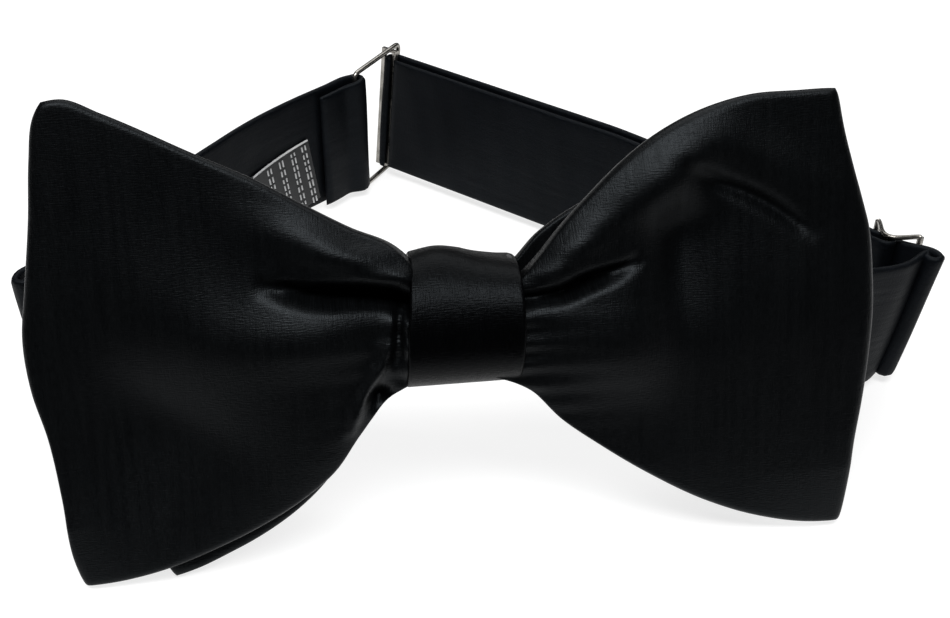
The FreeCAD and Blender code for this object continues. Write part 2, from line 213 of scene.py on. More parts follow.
def tube(name, path, radius, material, closed=False, sides=12):
    """A round wire or thread along a line of points."""
    path = np.asarray(path, float)
    ahead = np.gradient(path, axis=0)
    if closed:
        ahead = np.roll(path, -1, 0) - np.roll(path, 1, 0)
    ahead = unit(ahead)
    side = unit(np.cross(ahead, ASLANT))
    other = np.cross(ahead, side)
    angles = np.linspace(0, 2 * math.pi, sides, endpoint=False)
    ring = side[:, None] * np.cos(angles)[:, None] + other[:, None] * np.sin(angles)[:, None]
    points = path[:, None] + ring * radius
    n = len(path)
    index = np.arange(n * sides).reshape(n, sides)
    index = np.concatenate([index, index[:, :1]], 1)
    if closed:
        index = np.concatenate([index, index[:1]])
    faces = quads(index).tolist()
    if not closed:
        faces.append(list(range(sides))[::-1])
        faces.append([(n - 1) * sides + k for k in range(sides)])
    flat = np.stack(np.broadcast_arrays(travelled(path)[:, None], angles[None] * radius), -1)
    return make_object(name, points.reshape(-1, 3), faces, flat.reshape(-1, 2), material)


def joined(name, pieces):
    """Several meshes as one object."""
    with bpy.context.temp_override(
        active_object=pieces[0], selected_editable_objects=pieces, selected_objects=pieces
    ):
        bpy.ops.object.join()
    pieces[0].name = name
    pieces[0].data.name = name
    return pieces[0]


# Materials


def new_material(name):
    """A material, its node tree and its shader."""
    material = bpy.data.materials.new(name)
    material.use_nodes = True
    tree = material.node_tree
    return material, tree, tree.nodes["Principled BSDF"]


def cloth_place(tree, across, along):
    """The cloth's own flat place, with each direction scaled."""
    place = tree.nodes.new("ShaderNodeUVMap")
    place.uv_map = "cloth"
    scale = tree.nodes.new("ShaderNodeMapping")
    scale.inputs["Scale"].default_value = (across, along, 1.0)
    tree.links.new(place.outputs["UV"], scale.inputs["Vector"])
    return scale.outputs["Vector"]


def noise(tree, place, detail=2.0, rough=0.5, scale=1.0):
    """A noise texture's value."""
    node = tree.nodes.new("ShaderNodeTexNoise")
    node.inputs["Scale"].default_value = scale
    node.inputs["Detail"].default_value = detail
    node.inputs["Roughness"].default_value = rough
    if place is not None:
        tree.links.new(place, node.inputs["Vector"])
    return node.outputs["Fac"]


def ramp(tree, value, low, high, colour_low, colour_high):
    """A colour that changes from one to another as a value goes from low to high."""
    node = tree.nodes.new("ShaderNodeValToRGB")
    node.color_ramp.elements[0].position = low
    node.color_ramp.elements[1].position = high
    node.color_ramp.elements[0].color = (*colour_low, 1)
    node.color_ramp.elements[1].color = (*colour_high, 1)
    tree.links.new(value, node.inputs["Fac"])
    return node.outputs["Color"]


def spread(tree, value, low, high, out_low, out_high):
    """A value mapped from one range to another."""
    node = tree.nodes.new("ShaderNodeMapRange")
    node.inputs["From Min"].default_value = low
    node.inputs["From Max"].default_value = high
    node.inputs["To Min"].default_value = out_low
    node.inputs["To Max"].default_value = out_high
    tree.links.new(value, node.inputs["Value"])
    return node.outputs["Result"]


def multiplied(tree, one, other):
    """Two colours multiplied."""
    node = tree.nodes.new("ShaderNodeMix")
    node.data_type = "RGBA"
    node.blend_type = "MULTIPLY"
    node.inputs["Factor"].default_value = 1.0
    tree.links.new(one, node.inputs["A"])
    tree.links.new(other, node.inputs["B"])
    return node.outputs["Result"]


def added(tree, one, other, share=1.0):
    """One value plus a share of another."""
    node = tree.nodes.new("ShaderNodeMath")
    node.operation = "MULTIPLY_ADD"
    tree.links.new(other, node.inputs[0])
    node.inputs[1].default_value = share
    tree.links.new(one, node.inputs[2])
    return node.outputs[0]


def bumped(tree, shader, height, distance, strength):
    """Bump on a shader from a height."""
    node = tree.nodes.new("ShaderNodeBump")
    node.inputs["Distance"].default_value = distance
    node.inputs["Strength"].default_value = strength
    tree.links.new(height, node.inputs["Height"])
    tree.links.new(node.outputs["Normal"], shader.inputs["Normal"])


def satin(name, dark, light, rough, warp_along, gloss, aniso=0.45):
    """Black satin: long warp floats, a fine weft, slow changes of colour and gloss."""
    material, tree, shader = new_material(name)
    fine = 5200.0  # noise cells to a metre across the threads
    coarse = 900.0  # and along them
    warp_scale = (coarse, fine) if warp_along else (fine, coarse)
    warp = noise(tree, cloth_place(tree, *warp_scale), 2.0, 0.55)
    weft = noise(tree, cloth_place(tree, *warp_scale[::-1]), 1.0, 0.5)
    slow = noise(tree, cloth_place(tree, 75.0, 75.0), 3.0, 0.6)
    streak_scale = (60.0, 1100.0) if warp_along else (1100.0, 60.0)
    streak = noise(tree, cloth_place(tree, *streak_scale), 3.0, 0.6)
    colour = ramp(tree, slow, 0.35, 0.68, dark, light)
    threads = ramp(tree, warp, 0.3, 0.7, (0.45, 0.45, 0.45), (1.6, 1.6, 1.6))
    colour = multiplied(tree, colour, threads)
    tree.links.new(colour, shader.inputs["Base Color"])
    gloss_change = added(tree, spread(tree, streak, 0.3, 0.7, *rough), warp, 0.12)
    tree.links.new(gloss_change, shader.inputs["Roughness"])
    height = added(tree, warp, weft, 0.9)
    height = added(tree, height, streak, 0.8)
    bumped(tree, shader, height, 0.00007, 0.7)
    shader.inputs["Specular IOR Level"].default_value = gloss
    shader.inputs["Specular Tint"].default_value = (0.84, 0.93, 1.0, 1)
    shader.inputs["Anisotropic"].default_value = aniso
    shader.inputs["Anisotropic Rotation"].default_value = 0.0 if warp_along else 0.25
    tangent = tree.nodes.new("ShaderNodeTangent")
    tangent.direction_type = "UV_MAP"
    tangent.uv_map = "cloth"
    tree.links.new(tangent.outputs["Tangent"], shader.inputs["Tangent"])
    return material


def plain_cloth(name, dark, light, rough=0.85, pitch=2600.0, sheen=0.15):
    """Matt cloth or thread with a visible fibre."""
    material, tree, shader = new_material(name)
    fibre = noise(tree, cloth_place(tree, pitch, pitch), 3.0, 0.6)
    slow = noise(tree, cloth_place(tree, 150.0, 150.0), 2.0, 0.5)
    colour = ramp(tree, slow, 0.3, 0.7, dark, light)
    shade = ramp(tree, fibre, 0.25, 0.75, (0.6, 0.6, 0.6), (1.3, 1.3, 1.3))
    tree.links.new(multiplied(tree, colour, shade), shader.inputs["Base Color"])
    tree.links.new(spread(tree, fibre, 0, 1, rough - 0.1, rough + 0.1), shader.inputs["Roughness"])
    bumped(tree, shader, fibre, 0.0001, 0.5)
    shader.inputs["Sheen Weight"].default_value = sheen
    shader.inputs["Specular IOR Level"].default_value = 0.3
    return material


def polished_metal(name, dark, light):
    """Plated metal with fine rubbing marks, duller in patches."""
    material, tree, shader = new_material(name)
    place = tree.nodes.new("ShaderNodeTexCoord").outputs["Object"]
    slow = noise(tree, place, 3.0, 0.6, 260.0)
    fine = noise(tree, place, 4.0, 0.7, 3800.0)
    tree.links.new(ramp(tree, slow, 0.35, 0.7, dark, light), shader.inputs["Base Color"])
    roughness = added(tree, spread(tree, slow, 0.3, 0.7, 0.14, 0.3), fine, 0.12)
    tree.links.new(roughness, shader.inputs["Roughness"])
    bumped(tree, shader, fine, 0.00002, 0.35)
    shader.inputs["Metallic"].default_value = 1.0
    return material


SATIN = satin(
    "bow_satin", (0.0006, 0.0007, 0.0009), (0.0013, 0.0015, 0.0017), (0.31, 0.41), False, 0.145, 0.2
)
KNOT_SATIN = satin(
    "knot_satin", (0.0003, 0.0003, 0.0004), (0.0007, 0.0007, 0.0009), (0.24, 0.31), False, 0.06, 0.4
)
BAND_SATIN = satin("band_satin", (0.0010, 0.0014, 0.0022), (0.0022, 0.0028, 0.0040), (0.4, 0.55), True, 0.10)
STIFFENER = plain_cloth("stiffening_cloth", (0.022, 0.022, 0.024), (0.04, 0.04, 0.042))
THREAD = plain_cloth("black_thread", (0.006, 0.006, 0.007), (0.012, 0.012, 0.013), 0.6, 6000.0)
LABEL_CLOTH = plain_cloth("label_cloth", (0.005, 0.006, 0.007), (0.009, 0.01, 0.011), 0.6, 4500.0)
LABEL_THREAD = plain_cloth("label_thread", (0.42, 0.43, 0.44), (0.62, 0.62, 0.62), 0.7, 6000.0)
STEEL = polished_metal("plated_steel", (0.16, 0.155, 0.14), (0.42, 0.40, 0.37))


def settle(piece, body, slot, *nodes):
    """The piece moves with a body and stands for some nodes, whose CAD shapes are hidden. The slot is not
    used.
    """
    if body:
        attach(piece, body)
    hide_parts(*nodes)
    return piece


# The two bows. Outlines are (across, up) on the leaning bow: top and bottom edges run from
# the middle outwards, and outer edges from bottom to top. Most of their points, and those of the
# slits, the ridge and the furrow, were measured on the photograph through the picked camera and
# then adjusted. They are closer together than the shapes need.

LEFT_TOP = outline(
    (0, 41), (-5.8, 43), (-7.4, 46.4), (-8.8, 47.8), (-15, 51), (-21.5, 54.8), (-28, 58.7), (-34.4, 61.9),
    (-46.9, 68.4), (-51.8, 70.6), (-54.8, 70.5)
)
LEFT_BOTTOM = outline(
    (0, 30.4), (-8.6, 28), (-11.6, 25.8), (-15.4, 21.2), (-19.5, 15.6), (-23.9, 12), (-30.5, 8.1),
    (-38, 4.8), (-45.1, 2.3), (-49.9, 1.2), (-56.4, 0.3)
)
LEFT_OUTER = outline(
    (-56.4, 0.3), (-57.4, 5.1), (-57.9, 14.4), (-58.8, 23.5), (-60.3, 30.9), (-60.6, 38.2), (-59.5, 45.1),
    (-57.9, 54.7), (-56.9, 62.7), (-55.9, 68), (-54.8, 70.5)
)
RIGHT_TOP = outline(
    (0, 41), (6.6, 41.8), (8.6, 43.2), (9.9, 44.5), (14.3, 49.6), (18.6, 53.9), (22.9, 57.8), (27.2, 60.9),
    (34.3, 64.3), (41.4, 66), (48.6, 66.2), (54, 66.4)
)
RIGHT_BOTTOM = outline(
    (0, 30.4), (9, 26), (13.5, 21), (19.3, 16.3), (26.6, 11.1), (34.1, 6.6), (41.8, 3.3), (49.5, 1.2),
    (56, 0.4)
)
RIGHT_OUTER = outline(
    (56, 0.4), (56.9, 7.4), (57.6, 13.7), (58.6, 19.9), (59.5, 27.5), (59.9, 33.6), (59.7, 39.6), (59, 46.3),
    (58, 50), (56.5, 55.1), (54.8, 61.6), (54, 66.4)
)
FRONT_WINGS = ((LEFT_TOP, LEFT_BOTTOM, LEFT_OUTER), (RIGHT_TOP, RIGHT_BOTTOM, RIGHT_OUTER))


def wing_place(curves, s, w):
    """A place in a wing: s runs from the waist to the outer edge and w from bottom to top."""
    top, bottom, outer = curves
    s1 = s[..., None]
    w1 = w[..., None]
    ends = [curve(np.array([q])) for curve, q in ((bottom, 0), (bottom, 1), (top, 0), (top, 1))]
    corners = (1 - s1) * (1 - w1) * ends[0] + s1 * (1 - w1) * ends[1]
    corners = corners + (1 - s1) * w1 * ends[2] + s1 * w1 * ends[3]
    waist = (1 - w1) * ends[0] + w1 * ends[2]
    return (1 - w1) * bottom(s) + w1 * top(s) + (1 - s1) * waist + s1 * outer(w) - corners


def two_wings(wings, u, v):
    """Across and up for both wings. The corners are a little rounded."""
    soft = 1 - 0.007 * np.abs(u * v) ** 30
    u = u * soft
    v = v * soft
    w = (v + 1) / 2
    left = wing_place(wings[0], np.clip(-u, 0, 1), w)
    right = wing_place(wings[1], np.clip(u, 0, 1), w)
    return np.where(u[..., None] < 0, left, right)


def crease(x, up, route, width, depth):
    """A valley along a route of (across, up, strength) points."""
    route = smooth(np.array(route, float), 0.6)
    best = np.full(x.shape, 1e9)
    strength = np.zeros(x.shape)
    for px, pu, share in route:
        d = np.hypot(x - px, up - pu)
        nearer = d < best
        strength = np.where(nearer, share, strength)
        best = np.minimum(best, d)
    return depth * strength * np.exp(-((best / width) ** 2))


def turned(x, up, centre, turn_deg):
    """Places as seen from a centre, along a turned direction and across it."""
    turn = math.radians(turn_deg)
    dx = x - centre[0]
    du = up - centre[1]
    return dx * math.cos(turn) + du * math.sin(turn), du * math.cos(turn) - dx * math.sin(turn)


def hill(x, up, centre, radii, turn_deg, height):
    """A rounded rise, or a hollow where its height is negative."""
    along, across = turned(x, up, centre, turn_deg)
    return height * np.exp(-((along / radii[0]) ** 2) - (across / radii[1]) ** 2)


# Valleys, and a narrow ridge with a negative depth: their route, width and depth
LEFT_SLIT = ((-5.5, 39.3, 1), (-9, 40.8, 1), (-12.7, 41.6, 1.15), (-17.8, 42, 1.15), (-21.7, 42.5, 0.75))
LEFT_SLIT += ((-25, 43.3, 0.35), (-29, 44.2, 0))
LEFT_RIDGE = ((-9.8, 39.1, 0.3), (-11.1, 33.9, 0.8), (-14, 28.7, 1), (-15.8, 25.6, 1), (-16.9, 22.5, 0.6))
RIGHT_SLIT = ((4, 39.5, 1), (10.1, 39.8, 0.8), (14.1, 40.2, 1), (17.7, 41.6, 1.1), (21.9, 42.9, 0.5))
RIGHT_SLIT += ((26, 44.5, 0),)
RIGHT_FURROW = ((29, 58, 0), (31.9, 56.6, 0.4), (35.5, 54.6, 0.9), (40.1, 52.7, 1), (44.1, 50.5, 1))
RIGHT_FURROW += ((48.2, 47.5, 0.7), (51, 45, 0))
CREASES = (
    (LEFT_SLIT, 1.25, 4.6),
    (((-8.9, 40.3, 0.8), (-9.2, 37, 0.8), (-9.5, 33, 0.2)), 0.6, 1.4),
    (LEFT_RIDGE, 1.0, -1.2),
    (RIGHT_SLIT, 1.05, 3.2),
    (RIGHT_FURROW, 1.2, 1.5),
)
# Rises and hollows: their centre, radii, turn and height
HILLS = (
    ((-15, 46.8), (11, 3.2), -24, 2.3),
    ((-22, 36.4), (9.5, 5.2), 0, 2.3),
    ((-7.9, 34.5), (1.2, 5.5), 0, 1.4),
    ((-12.2, 26.8), (2.0, 1.7), -25, -2.8),
    ((-35, 37), (14, 7), -42, 1.6),
    ((29.5, 56.5), (9, 4.5), 35, 2.4),
    ((21, 33), (13, 7), -10, 1.8),
    ((45, 37), (14, 10), -35, 1.1),
    ((43, 57.2), (12, 3.2), -30, 1.0),
    ((15, 45.5), (8, 3), 42, 1.6),
)
# Slopes: the top of each, the way down in degrees, how sharp, how far, how long and how deep
SHELVES = (
    ((-41.5, 28.5), 232, 2.3, 26, 12, 3.4),
    ((31.6, 50), 268, 1.3, 15, 4.8, 2.9),
    ((24.5, 24.5), 240, 2.4, 14, 9, 1.6),
)


def shelf(x, up, top, turn_deg, sharp, reach, span, depth):
    """A slope down, whose lower side comes back slowly, so only the slope is in shade."""
    along, across = turned(x, up, top, turn_deg)
    fall = 1 / (1 + np.exp(-along / sharp))
    back = np.exp(-((np.clip(along, 0, None) / reach) ** 2))
    return -depth * fall * back * np.exp(-((across / span) ** 2))


def front_relief(x, up):
    """How far the front cloth stands proud, from its folds."""
    height = np.zeros_like(x)
    for top, turn, sharp, reach, span, depth in SHELVES:
        height = height + shelf(x, up, top, turn, sharp, reach, span, depth)
    for centre, radii, turn, size in HILLS:
        height = height + hill(x, up, centre, radii, turn, size)
    for route, width, depth in CREASES:
        height = height - crease(x, up, route, width, depth)
    near = np.exp(-np.clip(np.abs(x) - KNOT_HALF_WIDE, 0, None) / 4.5)
    ripple = np.sin((up - KNOT_UP) * 1.9 + np.sign(x) * 0.8) * 0.22
    return height + near * ripple


def tapered(rows, columns):
    """1 over a table's middle, falling to 0 along its four sides."""
    u = np.linspace(-1, 1, rows)[:, None]
    v = np.linspace(-1, 1, columns)[None]
    return rounded(u, 0.03) * rounded(v, 0.05)


def make_front_bow():
    u = stations(2, 0.022, 0.0092)
    v = stations(2, 0.03, 0.0185)
    u, v = np.meshgrid(u, v, indexing="ij")
    flat = two_wings(FRONT_WINGS, u, v)
    x = flat[..., 0]
    up = flat[..., 1]
    waist = np.exp(-((x / 8.5) ** 2))
    puff = np.exp(-(((np.abs(x) - 19) / 13) ** 2)) * (1 - 0.5 * v * v)
    edge = rounded(u, 0.022) * rounded(v, 0.03)
    soft_edge = rounded(u, 0.16) * rounded(v, 0.3)
    inside = np.clip(1 - (np.abs(x) - 4) / 3, 0, 1)
    relief = front_relief(x, up) * (1 - inside) * soft_edge
    height = 0.95 + 2.0 * waist + 1.4 * puff * soft_edge + relief
    # where a fold is deeper than the cloth is thick, both faces go back
    sunk = np.clip(0.2 - height, 0, None)
    droop = 1.2 * np.clip((np.abs(x) - 40) / 15, 0, 1) * np.clip((10 - up) / 10, 0, 1)
    place = 1.5 + 1.5 * waist + 1.2 * puff - sunk - droop
    front = (height + sunk) * edge
    back = (0.9 + 2.0 * waist) * edge
    piece = sheet_mesh("front_bow_satin", bow_point(x, up, place), front, back, flat, SATIN)
    settle(piece, "bow", "black_satin", "front_bow")
    cut = (slice(8, -8), slice(8, -8))
    inner = bow_point(x, up, place - 0.45)[cut]
    gap = 0.25 * edge[cut] * tapered(*inner.shape[:2])
    lining = sheet_mesh("front_bow_stiffener", inner, gap, gap, flat[cut], STIFFENER)
    settle(lining, "bow", "interlining", "front_bow_interlining")


BACK_TOP_LEFT = outline((0, 41), (-6.4, 42.6), (-8.8, 45.2), (-14, 48), (-28, 56), (-44, 62.3))
BACK_BOTTOM_LEFT = outline(
    (0, 30.6), (-8.4, 28.8), (-14, 22.4), (-17.3, 17), (-20.8, 12.2), (-25.3, 8.3), (-31, 5), (-36.4, 2.8),
    (-43.6, 0.3)
)
BACK_OUTER_LEFT = outline((-43.6, 0.3), (-46.4, 7), (-48.2, 20), (-48.4, 40), (-44, 62.3))
BACK_TOP_RIGHT = outline((0, 41), (6.4, 42.4), (11.7, 47.4), (27, 55), (44, 60))
BACK_BOTTOM_RIGHT = outline((0, 30.6), (8.4, 28.4), (14, 25), (26, 17), (36, 11), (44, 8.5))
BACK_OUTER_RIGHT = outline((44, 8.5), (48.2, 20), (48.2, 40), (44, 60))
BACK_WINGS = (
    (BACK_TOP_LEFT, BACK_BOTTOM_LEFT, BACK_OUTER_LEFT),
    (BACK_TOP_RIGHT, BACK_BOTTOM_RIGHT, BACK_OUTER_RIGHT),
)


def make_back_bow():
    u = stations(2, 0.026, 0.016)
    v = stations(2, 0.034, 0.03)
    u, v = np.meshgrid(u, v, indexing="ij")
    flat = two_wings(BACK_WINGS, u, v)
    x = flat[..., 0]
    up = flat[..., 1]
    waist = np.exp(-((x / 8.5) ** 2))
    lift = np.clip((-x - 14) / 26, 0, 1)
    low = np.clip((16 - up) / 14, 0, 1)
    edge = rounded(u, 0.026) * rounded(v, 0.034)
    middle = bow_point(x, up, -3.3 + 0.7 * waist + 3.1 * lift * low)
    folds = hill(x, up, (-20, 40), (12, 4), -15, -0.5) + hill(x, up, (20, 40), (12, 4), 15, -0.5)
    front = (0.7 + 0.8 * waist - 0.25 * lift * low) * edge
    back = (0.75 + 0.8 * waist) * edge + (folds + 0.4) * rounded(u, 0.2) * rounded(v, 0.3)
    piece = sheet_mesh("back_bow_satin", middle, front, back, flat, SATIN)
    settle(piece, "bow", "black_satin", "back_bow")
    cut = (slice(8, -8, 2), slice(8, -8, 2))
    inner = middle[cut]
    gap = 0.3 * tapered(*inner.shape[:2])
    lining = sheet_mesh("back_bow_stiffener", inner, gap, gap, flat[cut], STIFFENER)
    settle(lining, "bow", "interlining", "back_bow_interlining")


# The knot


def ring_place(angle, half_up, half_out, x, hump=0.0):
    """A place on the knot's section: rounded, flat behind, with a hump along its top."""
    c = np.cos(angle)
    s = np.sin(angle)
    power = 0.97
    up = np.sign(s) * np.abs(s) ** power * half_up
    out = np.sign(c) * np.abs(c) ** power * half_out
    # the back is flat where the stitches lie
    corner = np.clip((-c - 0.35) / 0.35, 0, 1)
    corner = corner * corner * (3 - 2 * corner)
    out = np.maximum(out * (1 + 0.45 * corner), -half_out)
    up = up + hump * np.clip(s, 0, 1) ** 4 + 0.45 * np.clip(-s, 0, 1) ** 2
    return bow_point(x, KNOT_UP + up, out + 0.25)


def make_knot():
    angle = np.linspace(math.pi, 3 * math.pi, 161)
    v = stations(2, 0.06, 0.035)
    angle, v = np.meshgrid(angle, v, indexing="ij")
    left = np.clip(-v, 0, 1)
    right = np.clip(v, 0, 1)
    high = np.clip(np.sin(angle), 0, 1)
    low = np.clip(-np.sin(angle), 0, 1)
    # the sides lean: the top left corner is drawn in and the lower left one stands out
    x = v * 8.15 - 0.15 + left * (1.1 * high - 0.4 * low) - right * 0.5 * low
    hump = 0.9 * np.exp(-(((x + 3.2) / 3.6) ** 2)) - 1.3 * np.clip(x / 8, 0, 1)
    pull = 0.12 * np.sin(x * 1.25 + 1.5 * np.sin(angle)) + 0.07 * np.sin(x * 2.9 + 2 * angle)
    pull = pull + 0.05 * np.sin(x * 6.1 - 3 * angle)
    pull = pull * (1 - 0.75 * np.clip(-np.cos(angle), 0, 1))
    waist = 0.35 * (1 - v * v)
    middle = ring_place(angle, 9.2 + 0.1 * waist, 8.7 - waist, x, hump)
    edge = rounded(v, 0.06)
    front = (0.45 + pull * (1 - v**8)) * edge
    back = 0.45 * edge
    flat = np.stack([x, angle * 9.4], -1)
    piece = sheet_mesh("knot_satin", middle, front, back, flat, KNOT_SATIN, ring=True)
    settle(piece, "bow", "black_satin", "knot_wrap")
    inner = ring_place(angle, 8.3, 7.45, x * 0.93)
    gap = 0.28 * edge
    lining = sheet_mesh("knot_lining_cloth", inner, gap, gap, flat, STIFFENER, ring=True)
    settle(lining, "bow", "interlining", "knot_lining")


make_front_bow()
make_back_bow()
make_knot()


# The neckband


def fold_loop(axis, into_deg, out_deg, radius, sense):
    """The soft turn round a fold's axis, from one plan direction to the other."""
    first = into_deg + sense * 90
    last = out_deg - sense * 90
    span = (last - first) * sense % 360
    points = []
    for share in (0.0, 0.25, 0.5, 0.75, 1.0):
        angle = math.radians(first + sense * span * share)
        points.append(axis + radius * np.array([math.cos(angle), math.sin(angle), 0]))
    return points


def heading(deg):
    return np.array([math.cos(math.radians(deg)), math.sin(math.radians(deg)), 0.0])


def neck_row(side, t):
    """A row of the front part of the band, at a share of the way to a fold."""
    fold = RIGHT_FOLD if side > 0 else LEFT_FOLD
    start = bow_point(0.0, KNOT_UP, -6.3)
    x = fold[0] * t
    y = start[1] + (fold[1] - start[1]) * (0.55 * t**2 + 0.45 * t**3)
    drop = t * t * (3 - 2 * t)
    z = start[2] + (BAND_MID_Z - start[2]) * drop
    spread_out = min(t / 0.55, 1.0)
    spread_out = spread_out * spread_out * (3 - 2 * spread_out)
    half = 5.2 + (BAND_HALF - 5.2) * spread_out
    lean = LEAN * (1 - drop)
    return [x, y, z, half, 0.0, math.sin(lean), math.cos(lean)]


def band_mesh(name, rows, material, thick, crown=0.0):
    """A band of cloth along rows of place, half width and upright."""
    path = smooth(rows, 0.8)
    length = travelled(path)[-1]
    edge_share = min(1.1 / length, 0.4)
    v = stations(2 * BAND_HALF, 0.7, 0.9)
    n = len(path)
    centre = path[:, None, :3]
    half = path[:, None, 3:4]
    upright = unit(path[:, 4:7])[:, None]
    middle = centre + upright * half * v[None, :, None]
    u = np.linspace(-1, 1, n)[:, None]
    edge = rounded(u, edge_share * 2) * rounded(v[None], 0.06)
    pillow = crown * (1 - v[None] ** 2)
    along = travelled(path)[:, None]
    wave = 0.06 * np.sin(along * 0.35 + v[None] * 2) + 0.04 * np.sin(along * 0.9 - v[None] * 3)
    one = (thick / 2 + pillow + wave * rounded(v[None], 0.5)) * edge
    other = (thick / 2 + pillow - wave * rounded(v[None], 0.5)) * edge
    flat = np.stack(np.broadcast_arrays(along, v[None] * BAND_HALF), -1)
    return sheet_mesh(name, middle, one, other, flat, material), length


def upright_row(place, half=BAND_HALF, upright=UPRIGHT):
    return [*place, half, *upright]


LEFT_START_DEG = 55.3
LEFT_END_DEG = 41.6
LEFT_RADIUS = 353.7
LEFT_LONG = LEFT_RADIUS * math.radians(LEFT_START_DEG - LEFT_END_DEG)
LOOP_RADIUS = 1.45
FOLD_RADIUS = 1.7


def left_arc(s, inward=0.0, z=BAND_MID_Z):
    """A place on the left strap, s along it and `inward` towards the loop's middle."""
    centre = LEFT_FOLD + heading(LEFT_START_DEG - 90) * LEFT_RADIUS
    angle = LEFT_START_DEG + 90 - math.degrees(s / LEFT_RADIUS)
    bowed = 1.5 * math.sin(math.pi * min(s / LEFT_LONG, 1) ** 1.5) ** 2
    place = centre + heading(angle) * (LEFT_RADIUS - inward + bowed)
    place[2] = z
    return place


def neck_deg(side):
    """The plan direction in which the front part leaves a fold."""
    away = np.array(neck_row(side, 0.97)[:2]) - np.array(neck_row(side, 1.0)[:2])
    return math.degrees(math.atan2(away[1], away[0]))


NECK_SHARES = (0.03, 0.12, 0.25, 0.38, 0.5, 0.62, 0.74, 0.85, 0.93)


# Each fold slants a little: its top leans outwards
LEFT_SHIFT = np.array([1.5, 0.0, 0.0])
LEFT_UP = unit(np.array([-0.07, 0.0, 1.0]))


def slanted(row, share, shift, upright):
    """A row of the band, a share of the way to the slant of its fold."""
    row[0:3] = np.array(row[0:3]) + shift * share
    row[4:7] = unit(np.array(row[4:7]) * (1 - share) + upright * share)
    return row


def left_neck_row(t):
    return slanted(neck_row(-1, t), np.clip((t - 0.5) / 0.5, 0, 1) ** 2, LEFT_SHIFT, LEFT_UP)


def left_row(s):
    rise = 0.55 * np.clip((s - 45) / 20, 0, 1)
    row = upright_row(left_arc(s, 0.0, BAND_MID_Z + rise), BAND_HALF + rise)
    return slanted(row, np.clip(1 - s / 16, 0, 1) ** 2, LEFT_SHIFT, LEFT_UP)


def left_band_rows():
    rows = [left_neck_row(t) for t in NECK_SHARES]
    for place in fold_loop(LEFT_FOLD, neck_deg(-1) + 180, LEFT_START_DEG, FOLD_RADIUS - 0.3, -1):
        rows.append(upright_row(place + LEFT_SHIFT, BAND_HALF, LEFT_UP))
    for s in (6, 14, 24, 36, 48, 60, 70, 78, 83):
        rows.append(left_row(s))
    side = heading(LEFT_END_DEG + 90)
    ahead = heading(LEFT_END_DEG)
    for deg in (90, 45, 0, -45, -90):
        turn = math.radians(deg)
        place = EYE_BAR + (ahead * math.cos(turn) + side * math.sin(turn)) * LOOP_RADIUS
        rows.append(upright_row(place + UPRIGHT * 0.4, BAND_HALF + 0.4))
    for back, inward in ((3.0, 1.45), (6.0, 1.6), (9.6, 1.7)):
        rows.append(upright_row(left_arc(LEFT_LONG - back, inward), BAND_HALF))
    return rows


def make_left_band():
    rows = left_band_rows()
    piece, length = band_mesh("neckband_left_satin", rows, BAND_SATIN, BAND_THICK, 0.1)
    settle(piece, None, "black_satin", "neckband_front", "left_strap")
    blend_fold(piece, heading(neck_deg(-1)))


def blend_fold(piece, front_dir):
    """The piece's placement is baked into its mesh."""
    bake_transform(piece)


make_left_band()


def right_place(x, y, z=0.0):
    """A place on the right strap: along it, inwards and up from its fold."""
    return RIGHT_FOLD + RIGHT_DIR * x + RIGHT_IN * y + RIGHT_UP * z


RIGHT_STRAIGHT = 66.0
RIGHT_TURN = math.radians(5.8)
RIGHT_REST = 50.4
RETURN_OFFSET = 2.1


def far_place(x, y):
    """A place on the right strap's far leg, after its slight turn."""
    c = math.cos(RIGHT_TURN)
    s = math.sin(RIGHT_TURN)
    return right_place(RIGHT_STRAIGHT + x * c - y * s, x * s + y * c, -0.5)


FOLD_SHIFT = np.array([-2.3, 0.0, 0.0])
FOLD_UP = unit(np.array([0.21, 0.0, 0.98]))


def right_neck_row(t):
    return slanted(neck_row(1, t), np.clip((t - 0.5) / 0.5, 0, 1) ** 2, FOLD_SHIFT, FOLD_UP)


def right_row(x):
    row = upright_row(right_place(x, 0, -0.5), BAND_HALF, RIGHT_UP)
    return slanted(row, np.clip(1 - x / 16, 0, 1) ** 2, FOLD_SHIFT, FOLD_UP)


def right_band_rows():
    rows = [right_neck_row(t) for t in NECK_SHARES]
    into = neck_deg(1) + 180
    out_deg = math.degrees(math.atan2(RIGHT_DIR[1], RIGHT_DIR[0]))
    for place in fold_loop(RIGHT_FOLD, into, out_deg, FOLD_RADIUS - 0.5, 1):
        rows.append(upright_row(place + FOLD_SHIFT, BAND_HALF, FOLD_UP))
    for x in (6, 18, 32, 46, 58, 65):
        rows.append(right_row(x))
    for x in (6, 18, 30, 40, 48.5):
        rows.append(upright_row(far_place(x, 0), BAND_HALF, RIGHT_UP))
    for deg in (-90, -45, 0, 45, 88):
        turn = math.radians(deg)
        place = far_place(RIGHT_REST + LOOP_RADIUS * math.cos(turn), LOOP_RADIUS * (1 + math.sin(turn)))
        rows.append(upright_row(place, BAND_HALF, RIGHT_UP))
    return rows


def make_right_band():
    piece, length = band_mesh("neckband_right_satin", right_band_rows(), BAND_SATIN, BAND_THICK, 0.1)
    settle(piece, None, "black_satin", "neckband_front", "right_strap")
    blend_fold(piece, heading(neck_deg(1)))


make_right_band()


LINING_INSET = 1.2  # from the band's edges in to its lining's


def make_band_lining(name, rows, body, node):
    """The stiff cloth inside one length of the band."""
    rows = [[*row[:3], row[3] - LINING_INSET, *row[4:]] for row in rows]
    piece, length = band_mesh(name, rows, STIFFENER, 0.3)
    settle(piece, body, "interlining", node)


